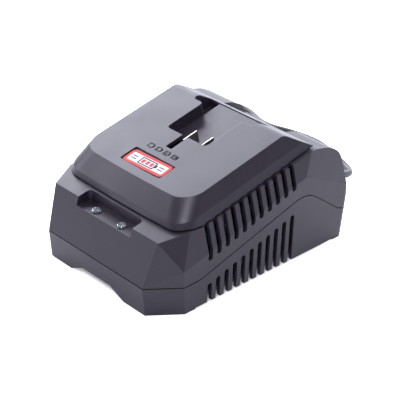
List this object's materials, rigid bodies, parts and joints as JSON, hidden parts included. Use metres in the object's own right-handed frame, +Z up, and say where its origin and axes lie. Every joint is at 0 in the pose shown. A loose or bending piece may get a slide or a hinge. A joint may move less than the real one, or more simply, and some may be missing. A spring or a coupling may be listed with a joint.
{
  "type": "power tool battery charger",
  "caption": "Mains charger for power tool battery packs: two-part vented case, sloping battery dock with contact blades, status lamps, cooling fan and mains cord with plug.",
  "frame": {"origin": "centre of the case's footprint, on the surface that its feet stand on (the loose cord isn't counted)", "axes": "+Z up; the front with the lamps faces -Y and the mains cord leaves at +Y; +X is to the right as seen from the front"},
  "size_m": [0.2174, 0.2355, 0.0834],
  "materials": {
    "housing_plastic": "fine matte texture",
    "dock_plastic": "fine matte texture",
    "label_film": "satin film",
    "blade_metal": "plated",
    "block_plastic": "matte",
    "lead_jacket": "satin",
    "lamp_clear": "clear",
    "bezel_plastic": "satin",
    "board_laminate": "satin",
    "diode_resin": "satin",
    "ferrite": "matte",
    "winding_tape": "satin",
    "capacitor_sleeve": "gloss",
    "choke_ring": "matte",
    "copper_wire": "enamelled",
    "sink_aluminium": "extruded",
    "package_resin": "matte",
    "fuse_glass": "clear",
    "clip_metal": "plated",
    "foot_rubber": "matte",
    "screw_steel": "zinc, dark",
    "fan_plastic": "satin",
    "cord_rubber": "satin",
    "tie_plastic": "satin",
    "pin_brass": "nickel-free, satin"
  },
  "bodies": {
    "charger": {"lower_housing": "housing_plastic", "upper_housing": "housing_plastic", "battery_dock": "dock_plastic", "name_plate": "label_film", "contact_blades": "blade_metal", "terminal_block": "block_plastic", "contact_leads": "lead_jacket", "lamp_lenses": "lamp_clear", "lamp_bezels": "bezel_plastic", "lamp_board": "board_laminate", "lamp_diodes": "diode_resin", "circuit_board": "board_laminate", "transformer_core": "ferrite", "transformer_winding": "winding_tape", "bulk_capacitor": "capacitor_sleeve", "output_capacitors": "capacitor_sleeve", "choke_core": "choke_ring", "choke_windings": "copper_wire", "heat_sink": "sink_aluminium", "power_transistors": "package_resin", "fuse": "fuse_glass", "fuse_clips": "clip_metal", "rectifier": "package_resin", "control_chip": "package_resin", "rubber_feet": "foot_rubber", "case_screws": "screw_steel", "board_screws": "screw_steel", "dock_screws": "screw_steel", "clamp_screws": "screw_steel", "fan_frame": "fan_plastic", "fan_stator": "copper_wire", "strain_relief": "cord_rubber", "inner_lead": "cord_rubber", "inner_conductors": "lead_jacket", "cord_clamp": "block_plastic", "mains_cord": "cord_rubber", "cord_hank": "cord_rubber", "cord_tie": "tie_plastic", "cord_tail": "cord_rubber", "plug_body": "cord_rubber", "plug_pins": "pin_brass"},
    "fan_rotor": {"fan_rotor": "fan_plastic"}
  },
  "joints": [
    {"name": "fan_spin", "type": "hinge", "parent": "charger", "child": "fan_rotor", "pos_m": [0.0475, 0.01281, 0.0295], "axis": [1, 0, 0], "continuous": true}
  ]
}
